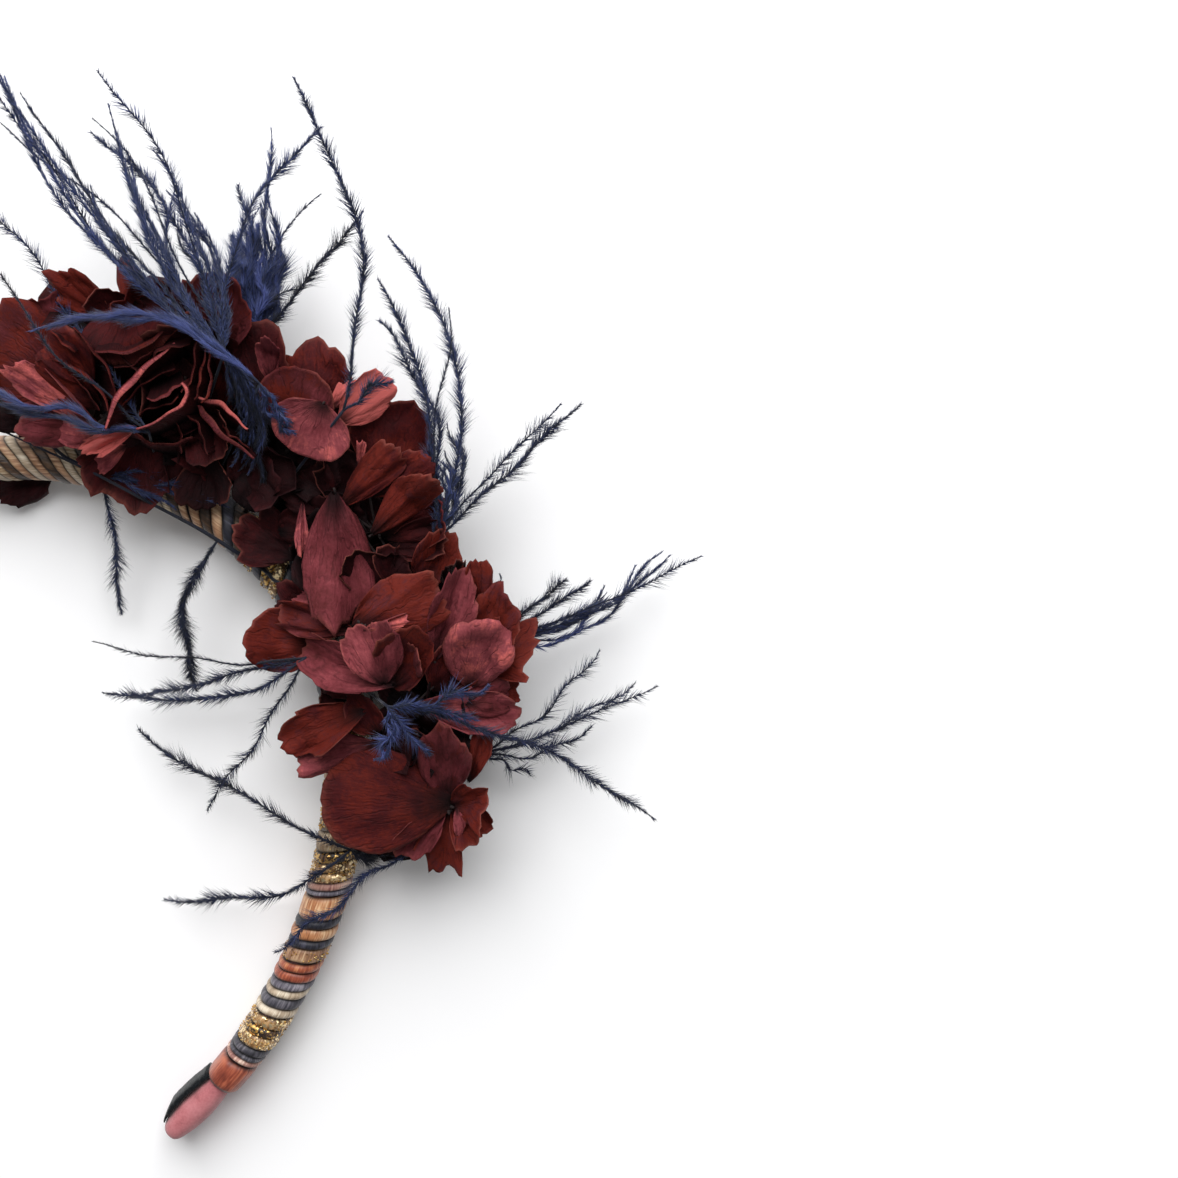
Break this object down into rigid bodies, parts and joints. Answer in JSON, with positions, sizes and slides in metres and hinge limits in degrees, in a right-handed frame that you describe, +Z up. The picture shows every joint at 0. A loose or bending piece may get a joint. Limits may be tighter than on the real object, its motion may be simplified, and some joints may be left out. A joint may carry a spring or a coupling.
{
  "type": "floral headband",
  "caption": "Narrow wound headband, dressed along one side of the crown with dark red dried-look florets and fronds of navy feather.",
  "frame": {"origin": "middle of the crown winding's flat underside, on the band's middle line", "axes": "+Z up from the floor the headband lies on, +Y outward at the crown, tips toward -Y, flowers on the +X side"},
  "size_m": [0.2138, 0.245, 0.0424],
  "materials": {
    "pink_cover": "matt napped cloth",
    "dark_lining": "matt velvet",
    "copper_winding": "satin",
    "gold_winding": "glittering metallic thread",
    "grey_winding": "soft cord",
    "navy_winding": "soft cord",
    "lace_winding": "matt ribbed",
    "tan_winding": "satin",
    "petals": "matt, papery",
    "feathers": "soft, matt"
  },
  "bodies": {
    "root": {"arched_frond": "feathers", "back_floret": "petals", "band": "pink_cover", "bloom_plume": "feathers", "copper_wrap_left": "copper_winding", "copper_wrap_right": "copper_winding", "crossing_frond": "feathers", "crown_back_floret": "petals", "crown_bloom": "petals", "crown_left_floret": "petals", "crown_low_floret": "petals", "crown_plume": "feathers", "crown_spray": "feathers", "crown_top_floret": "petals", "crown_wrap": "tan_winding", "fan_floret": "petals", "gold_wrap_left": "gold_winding", "gold_wrap_right": "gold_winding", "grey_wrap_left": "grey_winding", "grey_wrap_right": "grey_winding", "hanging_floret": "petals", "hanging_fronds": "feathers", "heart_floret": "petals", "inner_floret": "petals", "inward_spray": "feathers", "lace_wrap_left": "lace_winding", "lace_wrap_right": "lace_winding", "leg_spray": "feathers", "long_quill": "feathers", "lower_floret": "petals", "lower_spray": "feathers", "mid_floret": "petals", "middle_spray": "feathers", "navy_wrap_left": "navy_winding", "navy_wrap_right": "navy_winding", "pair_floret": "petals", "petal_tuft": "feathers", "right_spray": "feathers", "rust_floret": "petals", "shoulder_wrap_left": "tan_winding", "shoulder_wrap_right": "tan_winding", "side_floret": "petals", "side_spray": "feathers", "tip_lining_left": "dark_lining", "tip_lining_right": "dark_lining"}
  },
  "joints": []
}
